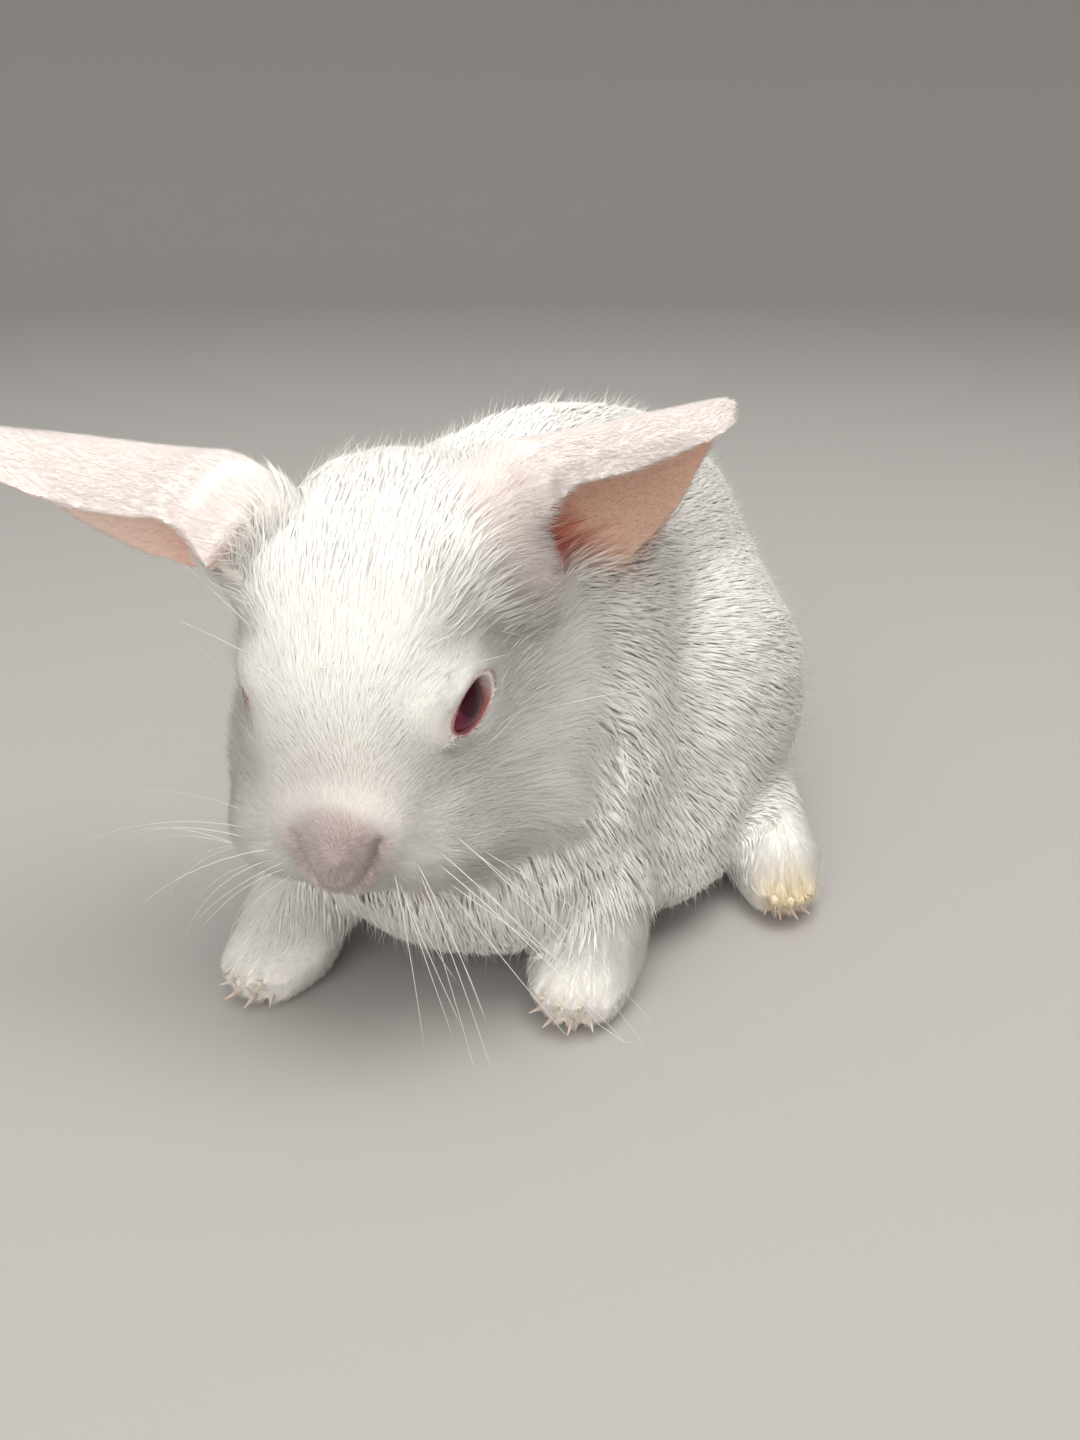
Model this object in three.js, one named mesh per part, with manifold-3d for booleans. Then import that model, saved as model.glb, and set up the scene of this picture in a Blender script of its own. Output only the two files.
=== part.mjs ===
// A young white lop rabbit, life size, crouched on all fours with its head low and its ears held out.
// Millimetres, +Z up. It faces -Y and its left side is +X. The solids reach out to the tips of the coat.
// Soft forms are rough distance functions that melt into one another. Each sub-part is a sphere whose
// vertices are pushed out onto those forms, and thin straight or oval cuts part it from its neighbours.
import * as THREE from "three";
import { mergeVertices } from "three/addons/utils/BufferGeometryUtils.js";
import Module from "manifold-3d";

const wasm = await Module();
wasm.setup();

// ---- driving sizes
const CUT = 0.35; // width of the thin cuts between sub-parts
const HEAD_AT = [-2, -44.5, 70.5]; // middle of the skull
const HEAD_NOD = 34; // degrees, nose down
const HEAD_TURN = 21; // degrees, nose to its left
const HEAD_SCALE = 1.04; // the head's forms are laid out for a skull this much smaller
const EYE_AT = [14.7, -11.7, 4.1]; // left eye's centre, in the head's own frame
const EYE_RADIUS = 6.9;
const EAR_LENGTH = 68;
const ROOT_SLANT = 8; // how much further out the front margin of an ear starts than its fold
const ROOT_DIP = 9; // how far the fold of an ear sinks to its root in the head
const EAR_WIDTH = 42; // laid flat, halfway along
const EAR_THICK = 3.0; // with the short coat on both sides
const NECK_LENGTH = 12;
const FORELEG_TOP = 31; // above this height the foreleg is part of the chest
const HIND_FOOT_LENGTH = 58;
const HAUNCH_AT = [45, 43, 31]; // middle of the left haunch's oval cut
const HAUNCH_CUT = [26, 37, 37];
const TOE = [4.2, 5.9, 4.7]; // half its width, length and height
const TOE_REACH = 9.5; // from the middle of the fan of toes
const CLAW_LENGTH = 4.5;
const CLAW_RADIUS = 1.1;
const CLAW_SLANT = 17; // degrees, downwards
const CLAW_REACH = 5; // from the middle of the last toe joint
const CLAW_DROP = 2.2;

const radians = THREE.MathUtils.degToRad;
const point = (at) => new THREE.Vector3(...at);
const turned = (degrees) => new THREE.Euler(...degrees.map(radians), "ZYX");

// The frame of a piece that is turned by Euler angles in degrees and then moved.
function placing(at, degrees = [0, 0, 0], size = 1) {
  const turn = new THREE.Quaternion().setFromEuler(turned(degrees));
  return new THREE.Matrix4().compose(point(at), turn, new THREE.Vector3(size, size, size));
}

// ---- soft forms: each gives the rough distance from a point to its surface, negative inside

// An ellipsoid with these semi-axes.
function egg(at, [rx, ry, rz], degrees) {
  const inwards = placing(at, degrees).invert();
  const q = new THREE.Vector3();
  return (p) => {
    q.copy(p).applyMatrix4(inwards);
    const share = Math.hypot(q.x / rx, q.y / ry, q.z / rz);
    const slope = Math.hypot(q.x / rx ** 2, q.y / ry ** 2, q.z / rz ** 2);
    return slope < 1e-6 ? -Math.min(rx, ry, rz) : (share * (share - 1)) / slope;
  };
}

// A round bar that tapers from one radius to another.
function bar(from, to, fromRadius, toRadius) {
  const start = point(from);
  const along = point(to).sub(start);
  const q = new THREE.Vector3();
  return (p) => {
    q.copy(p).sub(start);
    const share = THREE.MathUtils.clamp(q.dot(along) / along.lengthSq(), 0, 1);
    return q.addScaledVector(along, -share).length() - THREE.MathUtils.lerp(fromRadius, toRadius, share);
  };
}

// Forms that melt together over a distance.
function melt(softness, ...forms) {
  const join = (a, b) => Math.min(a, b) - Math.max(softness - Math.abs(a - b), 0) ** 2 / (4 * softness);
  return (p) => forms.map((form) => form(p)).reduce(join);
}

// A form with a soft hollow pressed into it.
function dent(softness, form, hollow) {
  const pressed = (a, b) => Math.max(a, b) + Math.max(softness - Math.abs(a - b), 0) ** 2 / (4 * softness);
  return (p) => pressed(form(p), -hollow(p));
}

// A form given in the frame of a placed piece.
function placed(frame, form) {
  const inwards = frame.clone().invert();
  return (p) => form(p.clone().applyMatrix4(inwards));
}

const both = (make) => [make(1), make(-1)];

// ---- solids

function solidOf(geometry) {
  const bare = geometry.clone();
  ["normal", "uv"].forEach((name) => bare.deleteAttribute(name));
  const merged = mergeVertices(bare, 1e-3);
  const vertProperties = merged.attributes.position.array;
  const triVerts = new Uint32Array(merged.index.array);
  return new wasm.Manifold(new wasm.Mesh({ numProp: 3, vertProperties, triVerts }));
}

function geometryOf(solid) {
  const { vertProperties, triVerts } = solid.getMesh();
  const geometry = new THREE.BufferGeometry();
  geometry.setAttribute("position", new THREE.BufferAttribute(new Float32Array(vertProperties), 3));
  geometry.setIndex(new THREE.BufferAttribute(new Uint32Array(triVerts), 1));
  geometry.computeVertexNormals();
  return geometry;
}

// How far a ray from inside a form runs before it comes out through the level surface.
function reachOf(form, from, direction, level) {
  const q = new THREE.Vector3();
  const depth = (t) => form(q.copy(from).addScaledVector(direction, t)) - level;
  let inside = 0;
  let outside = 0;
  for (let d = depth(0); d < 0 && outside < 300; d = depth(outside)) {
    inside = outside;
    outside += Math.max(0.6, -0.7 * d);
  }
  for (let i = 0; i < 18; i += 1) {
    const middle = (inside + outside) / 2;
    if (depth(middle) < 0) inside = middle;
    else outside = middle;
  }
  return inside;
}

// A sphere, stretched to about the shape of a form and turned, whose vertices are pushed out onto it.
function wrap(form, at, stretch, { around = 32, along = 20, turn = [0, 0, 0], level = 0 } = {}) {
  const geometry = new THREE.SphereGeometry(1, around, along);
  const centre = point(at);
  const places = geometry.attributes.position;
  const direction = new THREE.Vector3();
  for (let i = 0; i < places.count; i += 1) {
    direction.fromBufferAttribute(places, i).multiply(point(stretch)).applyEuler(turned(turn)).normalize();
    const reach = reachOf(form, centre, direction, level);
    places.setXYZ(i, ...direction.multiplyScalar(reach).add(centre).toArray());
  }
  return solidOf(geometry);
}

// Everything on the side of a plane that its normal points to, as a large block.
function sideOf(at, normal) {
  const size = 600;
  const geometry = new THREE.BoxGeometry(size, size, size).translate(0, 0, size / 2);
  const up = new THREE.Vector3(0, 0, 1);
  const facing = new THREE.Quaternion().setFromUnitVectors(up, point(normal).normalize());
  return solidOf(geometry.applyQuaternion(facing).translate(...at));
}

const aboveFloor = sideOf([0, 0, 0], [0, 0, 1]);

// ---- the head, in its own frame: the nose points to -Y, and the eyes look to the sides
const headFrame = placing(HEAD_AT, [HEAD_NOD, 2, HEAD_TURN], HEAD_SCALE);

const skull = melt(
  9,
  egg([0, 8, 3], [22, 25, 23]),
  egg([0, -8, 6], [18, 18, 16]),
  egg([0, -23.5, -4], [14, 14, 11], [20, 0, 0]),
  egg([0, -25, -13], [16, 13, 11.5]),
  ...both((side) => egg([side * 10.5, 1, -10.5], [12.5, 21, 17], [0, 0, side * 6])),
  ...both((side) => egg([side * 13.5, -15, -17], [12.5, 13.5, 11])),
);
const brows = both((side) => egg([side * 14.5, -8, 11.5], [5.5, 9, 4], [0, side * 30, 0]));
const whiskerPads = both((side) => egg([side * 11.5, -28, -14.5], [12.5, 10, 9.5]));
const nosePad = egg([0, -37.3, -9.8], [6.6, 4.4, 5.6], [15, 0, 0]);
const chin = egg([0, -26.5, -24.5], [9, 9, 6]);
const eyeHollows = both((side) => egg([side * 22.6, -12, 3.8], [4.4, 7.2, 5.8]));
const earBases = [egg([17, 4.5, 21], [8, 9, 9]), egg([-16.5, 3, 17], [8, 9, 9])];
const face = melt(4, melt(6, skull, ...earBases), ...brows, ...whiskerPads, chin);
const headForm = melt(
  2,
  eyeHollows.reduce((form, hollow) => dent(4, form, hollow), face),
  nosePad,
);

// ---- the neck, the trunk and the haunches
const trunkForm = melt(
  14,
  egg([0, 52, 60], [30, 44, 38]),
  egg([0, 16, 62], [31, 46, 43]),
  egg([1, -14, 40], [41, 37, 33]),
  egg([6, -34, 27], [31, 22, 21]),
  ...both((side) => egg([side * 36, 7, 16], [16, 28, 14.5])),
  egg([0, 24, 29], [44, 56, 24]),
  egg([0, 62, 40], [38, 36, 34]),
  bar([0, -4, 67], [0, -32, 76], 31, 25.5),
);
const haunchForms = both((side) => egg([side * 31, 42, 35], [23, 35, 31], [-20, 0, side * 6]));
const bodyForm = melt(10, trunkForm, ...haunchForms);
const flesh = melt(9, bodyForm, placed(headFrame, headForm));

// The head lies before a slanting plane at the nape and above another at the throat. The neck is the
// slice behind both. Each plane is a point on it and the normal that points to the head.
const neckPlanes = (setBack) => [
  { at: [0, -20 + 0.93 * setBack, 90 - 0.36 * setBack], normal: [0, -0.93, 0.36] },
  { at: [0, -40, 41 - setBack / 3], normal: [0, -0.35, 0.94] },
];
const heights = (setBack) => {
  const planes = neckPlanes(setBack).map(({ at, normal }) => {
    return new THREE.Plane().setFromNormalAndCoplanarPoint(point(normal).normalize(), point(at));
  });
  return (p) => Math.min(...planes.map((plane) => plane.distanceToPoint(p)));
};

function foremost(setBack) {
  const [nape, throat] = neckPlanes(setBack).map(({ at, normal }) => sideOf(at, normal));
  return nape.intersect(throat);
}

// The flesh, ending a little beyond the planes before it or behind it.
const MARGIN = 2.5;
const before = (setBack) => {
  const height = heights(setBack + MARGIN);
  return (p) => Math.max(flesh(p), -height(p));
};
const behind = (setBack) => {
  const height = heights(setBack - MARGIN);
  return (p) => Math.max(flesh(p), height(p));
};

// ---- legs: a left one for side 1 and a right one for side -1

// Four toes spread in a fan at the front of a paw, the middle ones reaching further.
function toesOf(at, heading, spread) {
  return [-0.5, -0.17, 0.17, 0.5].map((share) => {
    const turn = heading + share * spread;
    const angle = radians(turn);
    const ahead = TOE_REACH * (1 - 0.5 * share * share);
    const tip = [at[0] + Math.sin(angle) * ahead, at[1] - Math.cos(angle) * ahead, at[2]];
    return { tip, angle, form: egg(tip, TOE, [0, 0, turn]) };
  });
}

function clawsOf(toes) {
  return toes.map(({ tip, angle }) => {
    const claw = new THREE.ConeGeometry(CLAW_RADIUS, CLAW_LENGTH, 5);
    claw.rotateX(radians(180 + CLAW_SLANT)).rotateZ(angle);
    const [x, y] = [tip[0] + Math.sin(angle) * CLAW_REACH, tip[1] - Math.cos(angle) * CLAW_REACH];
    return solidOf(claw.translate(x, y, tip[2] - CLAW_DROP));
  });
}

const joined = (first, others) => others.reduce((solid, other) => solid.add(other), first);

function foreleg({ elbow, paw, heading }) {
  const angle = radians(heading);
  const ahead = (distance) => [paw[0] + Math.sin(angle) * distance, paw[1] - Math.cos(angle) * distance];
  const wrist = [...ahead(-7), 13];
  const toes = toesOf([...paw.slice(0, 2), 5.2], heading, 62);
  const form = melt(
    4,
    bar(elbow, wrist, 14, 11),
    egg([...ahead(-1), 6.5], [10.8, 12, 8.2], [0, 0, heading]),
    melt(1.2, ...toes.map(({ form: each }) => each)),
  );
  const leg = wrap(form, wrist, [1, 1, 1.4], { around: 16, along: 14, turn: [90, 0, 0] });
  const column = aboveFloor.intersect(sideOf([0, 0, FORELEG_TOP], [0, 0, -1]));
  return joined(leg, clawsOf(toes)).intersect(column);
}

function hindFoot({ toe, heading }, level) {
  const angle = radians(heading);
  const back = (distance) => [toe[0] - Math.sin(angle) * distance, toe[1] + Math.cos(angle) * distance];
  const toes = toesOf([...back(14), 5.4], heading, 46);
  const form = melt(
    5,
    bar([...back(HIND_FOOT_LENGTH - 9), 9], [...back(16), 7.8], 11.2, 11),
    melt(1.2, ...toes.map(({ form: each }) => each)),
  );
  const mesh = { around: 14, along: 16, turn: [0, 0, heading], level };
  return joined(wrap(form, [...back(26), 7], [10, 30, 9], mesh), clawsOf(toes)).intersect(aboveFloor);
}

// ---- ears

// Which way the sheet of an ear runs at a share of its length and of its width, in degrees from straight
// ahead: up and back along the front flap, over the fold, and down the rear wall. Near its root the sheet
// closes to a tube.
function earHeading(share, across, { flap, wall, foldAt }) {
  const root = 1 - THREE.MathUtils.smoothstep(share, 0, 0.36);
  const tip = THREE.MathUtils.smoothstep(share, 0.5, 1);
  const from = flap - 24 * root + 8 * tip;
  const to = wall + 60 * root - 10 * tip;
  const sharpness = 11 - 8 * root - 4 * tip;
  const start = 1 / (1 + Math.exp(sharpness * foldAt));
  const end = 1 / (1 + Math.exp(-sharpness * (1 - foldAt)));
  const bend = 1 / (1 + Math.exp(-sharpness * (across - foldAt)));
  return radians(from + ((to - from) * (bend - start)) / (end - start));
}

// The width of an ear, laid flat, at a share of its length.
function earWidth(share) {
  const bowl = 1.05 - 0.05 * THREE.MathUtils.smoothstep(share, 0.2, 0.6);
  const taper = Math.sqrt(1 - 0.48 * THREE.MathUtils.smoothstep(share, 0.4, 1.1));
  const tip = Math.sqrt(1 - (Math.max(0, share - 0.8) / 0.21) ** 2);
  return EAR_WIDTH * bowl * taper * tip;
}

// A thin grid bent into an ear. Its fold runs straight out from the root.
function ear({ side, root, direction, rise, ...section }) {
  const columns = 10;
  const rows = 11;
  const steps = 40;
  const geometry = new THREE.BoxGeometry(1, 1, 1, columns, rows, 1);
  const [ahead, aloft] = [radians(direction), radians(rise)];
  const outwards = point([
    side * Math.sin(ahead) * Math.cos(aloft), Math.cos(ahead) * Math.cos(aloft), Math.sin(aloft),
  ]);
  const front = new THREE.Vector3(side * Math.cos(ahead), -Math.sin(ahead), 0);
  const up = new THREE.Vector3().crossVectors(front, outwards).multiplyScalar(side);
  const places = geometry.attributes.position;
  const vertex = new THREE.Vector3();
  for (let i = 0; i < places.count; i += 1) {
    vertex.fromBufferAttribute(places, i);
    const across = vertex.x + 0.5;
    const share = vertex.y + 0.5;
    const width = earWidth(share);
    // walk along the section from the fold, so that the fold stays on the ear's own line
    const walk = (across - section.foldAt) / steps;
    let forward = 0;
    let upward = 0;
    for (let k = 0; k < steps; k += 1) {
      const heading = earHeading(share, section.foldAt + walk * (k + 0.5), section);
      forward += Math.cos(heading) * walk * width;
      upward += Math.sin(heading) * walk * width;
    }
    const heading = earHeading(share, across, section);
    const edge = 1 - 0.4 * Math.abs(2 * across - 1) ** 4;
    const thick = EAR_THICK * edge * (1 - 0.3 * share ** 3) * (1 + 0.5 * (1 - share) ** 4);
    forward += Math.sin(heading) * vertex.z * thick;
    upward -= Math.cos(heading) * vertex.z * thick;
    const slant = ROOT_SLANT * Math.max(0, 1 - across / section.foldAt) * (1 - share) ** 2;
    const at = point(root).addScaledVector(outwards, share * EAR_LENGTH + slant);
    const sunk = ROOT_DIP * Math.max(0, 1 - share / 0.18) ** 2;
    at.addScaledVector(front, forward).addScaledVector(up, upward - sunk);
    places.setXYZ(i, ...at.toArray());
  }
  if (side > 0) geometry.index.array.reverse();
  return solidOf(geometry);
}

// ---- the sub-parts
const inHead = (at) => point(at).applyMatrix4(headFrame).toArray();
const apart = (solid, rooms) => rooms.reduce((rest, room) => rest.subtract(room), solid);

const headTurn = [HEAD_NOD, 0, HEAD_TURN];
const headWrap = (level) => {
  return wrap(before(NECK_LENGTH), HEAD_AT, [26, 36, 26], { around: 36, along: 24, turn: headTurn, level });
};
const trunkWrap = (level) => {
  return wrap(behind(NECK_LENGTH), [0, 6, 34], [48, 76, 58], { around: 34, along: 22, level });
};
const headAndNeck = headWrap(0);
const headRoom = headWrap(CUT);
const body = trunkWrap(0);
const bodyRoom = trunkWrap(CUT);

function eye(side, radius) {
  const at = inHead([side * EYE_AT[0], EYE_AT[1], EYE_AT[2]]);
  return solidOf(new THREE.SphereGeometry(radius, 14, 9).translate(...at));
}

// The oval cut that parts a haunch from the trunk.
function haunchCut(side, grow) {
  const [rx, ry, rz] = HAUNCH_CUT.map((radius) => radius + grow);
  const oval = new THREE.SphereGeometry(1, 18, 12).scale(rx, ry, rz).rotateX(radians(-20));
  return solidOf(oval.translate(side * HAUNCH_AT[0], HAUNCH_AT[1], HAUNCH_AT[2]));
}

function tail() {
  const form = melt(6, bar([0, 90, 27], [0, 102, 36], 11, 10), egg([0, 103, 42], [11, 8.5, 12.5]));
  return wrap(form, [0, 100, 35], [10, 10, 16], { around: 14, along: 9, turn: [90, 0, 0] });
}

const LIMBS = [
  {
    name: "left",
    side: 1,
    arm: { elbow: [28, -22, 27], paw: [35.5, -36, 0], heading: 4 },
    foot: { toe: [65, 5], heading: 30 },
    lop: { root: inHead([14.2, 12, 33]), direction: 20, rise: 2, flap: 120, wall: 286, foldAt: 0.29 },
  },
  {
    name: "right",
    side: -1,
    arm: { elbow: [-18, -38, 27], paw: [-21, -58, 0], heading: -2 },
    foot: { toe: [-60, 10], heading: -26 },
    lop: { root: inHead([-9, 12, 29]), direction: 97, rise: 2, flap: 140, wall: 270, foldAt: 0.44 },
  },
];
const footRooms = LIMBS.map(({ foot }) => hindFoot(foot, CUT));
const haunchRooms = LIMBS.map(({ side }) => haunchCut(side, CUT));
const eyeRooms = LIMBS.map(({ side }) => eye(side, EYE_RADIUS + CUT));

const FUR = { color: 0xf4f1ea, roughness: 0.85, metalness: 0 };
const THIN_FUR = { color: 0xf0d9d4, roughness: 0.75, metalness: 0 };
const EYE = { color: 0x5a1420, roughness: 0.15, metalness: 0 };

const rabbit = new THREE.Group();

function addNode(name, solid, finish = FUR) {
  const mesh = new THREE.Mesh(geometryOf(solid), new THREE.MeshStandardMaterial(finish));
  mesh.name = name;
  rabbit.add(mesh);
}

addNode("head", apart(headAndNeck.intersect(foremost(0)), eyeRooms));
addNode("neck", apart(headAndNeck.intersect(foremost(NECK_LENGTH)), [foremost(CUT)]));
addNode("trunk", apart(body, [foremost(NECK_LENGTH + CUT), ...haunchRooms, ...footRooms]));
addNode("tail", apart(tail(), [bodyRoom]));
LIMBS.forEach(({ name, side, arm, foot, lop }) => {
  addNode("haunch_" + name, apart(body.intersect(haunchCut(side, 0)), footRooms));
  addNode("foreleg_" + name, apart(foreleg(arm), [bodyRoom, headRoom]));
  addNode("hind_foot_" + name, hindFoot(foot, 0));
  addNode("eye_" + name, eye(side, EYE_RADIUS), EYE);
  addNode("ear_" + name, apart(ear({ side, ...lop }), [headRoom, bodyRoom]), THIN_FUR);
});

// the origin is on the floor, under the middle of the whole
const middle = new THREE.Box3().setFromObject(rabbit).getCenter(new THREE.Vector3());
rabbit.children.forEach(({ geometry }) => geometry.translate(-middle.x, -middle.y, 0));

export default rabbit;
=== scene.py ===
import math

import bmesh
import bpy
import numpy as np
from mathutils import Euler, Matrix, Vector
from mathutils.bvhtree import BVHTree
from mathutils.kdtree import KDTree


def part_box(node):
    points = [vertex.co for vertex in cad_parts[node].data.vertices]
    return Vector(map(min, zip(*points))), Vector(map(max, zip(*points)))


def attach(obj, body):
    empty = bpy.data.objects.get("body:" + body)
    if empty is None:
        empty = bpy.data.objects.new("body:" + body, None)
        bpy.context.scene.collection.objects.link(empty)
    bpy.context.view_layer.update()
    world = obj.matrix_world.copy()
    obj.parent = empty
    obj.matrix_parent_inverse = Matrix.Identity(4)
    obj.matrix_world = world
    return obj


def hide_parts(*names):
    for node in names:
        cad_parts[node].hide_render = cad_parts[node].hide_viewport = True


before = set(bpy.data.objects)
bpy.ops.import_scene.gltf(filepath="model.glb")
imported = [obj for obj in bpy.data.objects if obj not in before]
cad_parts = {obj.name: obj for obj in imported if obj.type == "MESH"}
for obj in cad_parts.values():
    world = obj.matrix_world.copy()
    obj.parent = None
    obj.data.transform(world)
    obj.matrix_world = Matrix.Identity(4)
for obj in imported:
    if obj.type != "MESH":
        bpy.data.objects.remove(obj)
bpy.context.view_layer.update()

MM = 0.001
FLESH = (
    "head", "neck", "trunk", "tail", "haunch_left", "haunch_right", "foreleg_left", "foreleg_right",
    "hind_foot_left", "hind_foot_right", "ear_left", "ear_right",
)

# ---- places, as in the solids. The head's own frame has its nose to -Y and units of about a millimetre.
SIDES = {"left": 1, "right": -1}
EYE_BOXES = {
    side: np.array(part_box("eye_" + side)[0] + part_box("eye_" + side)[1]) / 2 for side in SIDES
}
EYE_SUNK = {"left": 1.5 * MM, "right": 2.3 * MM}  # how far the eyes lie in from the solids' ones
EYE_RADIUS = 6.9 * MM
LID_RADIUS = 7.5 * MM
HEAD_TURN = np.array(Euler([math.radians(v) for v in (34, 2, 21)], "XYZ").to_matrix())
HEAD_SIZE = 1.04 * MM
BETWEEN_EYES = np.array([0.0, -11.7, 4.1])  # in the head's own frame, as the next four are
HEAD_AT = (EYE_BOXES["left"] + EYE_BOXES["right"]) / 2 - HEAD_TURN @ BETWEEN_EYES * HEAD_SIZE
EYE_AT = {side: EYE_BOXES[side] - HEAD_TURN[:, 0] * SIDES[side] * EYE_SUNK[side] for side in SIDES}
GAZE = (0.90, -0.17, 0.40)  # where the left eye looks
SLIT = {"left": (0.955, -0.24, 0.15), "right": (0.99, -0.09, -0.02)}  # the middle of each opening
SLIT_ALONG = (-0.19, -0.945, -0.265)  # to the opening's front corner
SLIT_SIZE = (5.3 * MM, 4.2 * MM)  # half the opening's length and height
NOSE = np.array([0.0, -38.0, -4.5])
# Each ear: its fold's root in the head, the heading of the fold from straight back, and the headings of the
# front flap and the rear wall from straight ahead, in degrees.
EARS = {
    "left": {"root": (14.2, 12, 33), "direction": 20, "flap": 120, "wall": 286},
    "right": {"root": (-9, 12, 29), "direction": 97, "flap": 140, "wall": 270},
}
EAR_RISE = 2
EAR_HOLLOW_AT = (27.0, 13.0, 12.0)  # the left ear's, in the head's own frame
EAR_TINT_AND_GLOW = {"left": 1.0, "right": 0.6}  # how strongly each ear's inside is tinted; the left's extra tint is painted glow of light shining through that ear
# The soft bulb at the left ear's base: balls along a run of points, with their sizes.
EAR_BULB = np.array([
    (18.8, 12.3, 23.4, 7.2), (21.4, 8.6, 20.6, 7.2), (23.8, 6.6, 17.4, 6.6), (26.4, 6.6, 13.4, 5.2),
    (28.0, 7.4, 10.6, 4.2),
])
# The furry foot of the right ear, as balls too.
EAR_PAD = np.array([(-19.4, -0.4, 20.2, 5.2), (-20.6, 1.0, 25.0, 5.2)])
# Each foot: its paw's middle, in the millimetres in which the skull's middle is at SKULL_AT, its heading, the
# spread of its toes, and how far behind the paw's middle they fan out from.
SKULL_AT = np.array([-2.0, -44.5, 70.5])
FEET = {
    "foreleg_left": {"paw": (35.5, -36), "heading": 4, "spread": 62, "back": 0},
    "foreleg_right": {"paw": (-21, -58), "heading": -2, "spread": 62, "back": 0},
    "hind_foot_left": {"paw": (65, 5), "heading": 30, "spread": 46, "back": 14},
    "hind_foot_right": {"paw": (-60, 10), "heading": -26, "spread": 46, "back": 14},
}
TOE_REACH = 9.5
TOE_HEIGHT = 3.0 * MM
CLAW_LENGTH = 4.0 * MM
CAMERA_FROM_HEAD = np.array([110.0, -145.5, 69.5]) * MM

# ---- sizes of skin and coat, in millimetres where MM isn't named
SKIN_GRAIN = 1.05  # size of the skin's faces
SEAM = 0.3  # the flesh's solids grow by this much, so that they close up into one body
WELD = 0.02 * MM  # vertices of a solid that are nearer than this are one
SIDE_GAP = 1.5 * MM  # how far a thin ear's two sides are held apart when the nearest skin is looked for
THICK_WALL = 60.0  # taken for flesh so thick that its other side isn't found
WALL_SHARE = 0.28  # the coat takes no more than this share of the flesh's thickness
OPEN_AIR = 12.0  # taken for skin with nothing over it
ROOM_SHARE = 0.45  # the coat fills no more than this share of the room over the skin
ROOM_TO_GROW = (0.8, 4)  # hair starts to grow where there is this much room, and is full at the second
FLOOR_GAP = 0.25 * MM  # the coat stays this far over the floor, and its roots as deep in the skin
LID_RIM = 0.26 * MM
CORNEA_RISE = 0.25 * MM
UV_PATCH = 0.0015  # half of a tuft's patch on the unwrap
# Each kind of hair: count, pieces, hairs in a lock and how far they close on it, how nearly it is shaded as
# the skin is, rings, and how far it strays in degrees.
COATS = {
    "face_coat": {"count": 108000, "pieces": 3, "lock": (7, 0.3), "soft": 0.36, "rings": 1, "stray": 8},
    "body_coat": {"count": 62000, "pieces": 4, "lock": (9, 0.15), "soft": 0.68, "rings": 2, "stray": 8},
    "guard_hair": {"count": 10500, "pieces": 1, "lock": (3, 0.15), "soft": 0.5, "rings": 2, "stray": 30},
    "leg_coat": {"count": 44000, "pieces": 1, "lock": (7, 0.3), "soft": 0.5, "rings": 1, "stray": 8},
    "ear_coat": {"count": 44000, "pieces": 1, "lock": (5, 0.25), "soft": 0.4, "rings": 1, "stray": 8},
}

rng = np.random.default_rng(20)


# ---- small tools

def unit(vectors):
    vectors = np.asarray(vectors, float)
    return vectors / np.maximum(np.linalg.norm(vectors, axis=-1, keepdims=True), 1e-12)


def ease(value, start, end):
    """0 before start, 1 after end, smooth between."""
    t = np.clip((value - start) / (end - start), 0, 1)
    return t * t * (3 - 2 * t)


def in_head(points):
    """Points in the head's own frame, whose nose points to -Y."""
    return (points - HEAD_AT) @ HEAD_TURN / HEAD_SIZE


def from_head(points):
    return np.asarray(points, float) @ HEAD_TURN.T * HEAD_SIZE + HEAD_AT


def on_side(direction, side):
    """A direction in the head's own frame, given for the left side, as one in space for either side."""
    return unit(HEAD_TURN @ (np.array(direction) * (SIDES[side], 1, 1)))


def heading_of(degrees):
    """A level direction, turned from straight ahead to the left."""
    return np.array([math.sin(math.radians(degrees)), -math.cos(math.radians(degrees)), 0.0])


def ear_frame(side):
    """An ear's root in space, and the directions out along its fold, to its front and up."""
    ear = EARS[side]
    turn, rise = math.radians(ear["direction"]), math.radians(EAR_RISE)
    out = np.array([
        SIDES[side] * math.sin(turn) * math.cos(rise), math.cos(turn) * math.cos(rise), math.sin(rise),
    ])
    front = np.array([SIDES[side] * math.cos(turn), -math.sin(turn), 0.0])
    return from_head(ear["root"]), out, front, np.cross(front, out) * SIDES[side]


def new_object(name, mesh):
    thing = bpy.data.objects.new(name, mesh)
    bpy.context.scene.collection.objects.link(thing)
    return thing


def mesh_from(bm, name):
    mesh = bpy.data.meshes.new(name)
    bm.to_mesh(mesh)
    bm.free()
    return mesh


def finished(thing):
    """The mesh of a thing with its modifiers applied."""
    graph = bpy.context.evaluated_depsgraph_get()
    graph.update()
    mesh = bpy.data.meshes.new_from_object(thing.evaluated_get(graph), depsgraph=graph)
    thing.modifiers.clear()
    old = thing.data
    thing.data = mesh
    bpy.data.meshes.remove(old)
    return mesh


def taken(items, name, width, kind=float):
    """A property of a mesh's items as an array with a row for each."""
    flat = np.empty(len(items) * width, kind)
    items.foreach_get(name, flat)
    return flat.reshape(-1, width)


def places(mesh):
    return taken(mesh.vertices, "co", 3)


def move_to(mesh, points):
    mesh.vertices.foreach_set("co", np.ascontiguousarray(points, dtype=np.float32).ravel())
    mesh.update()


def edges_of(mesh):
    return taken(mesh.edges, "vertices", 2, np.int32)


def normals_of(mesh):
    return taken(mesh.vertex_normals, "vector", 3, np.float32).astype(float)


def torso_of(part):
    return part["neck"] + part["trunk"] + part["haunch_left"] + part["haunch_right"]


def smooth(bm):
    for face in bm.faces:
        face.smooth = True


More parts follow.
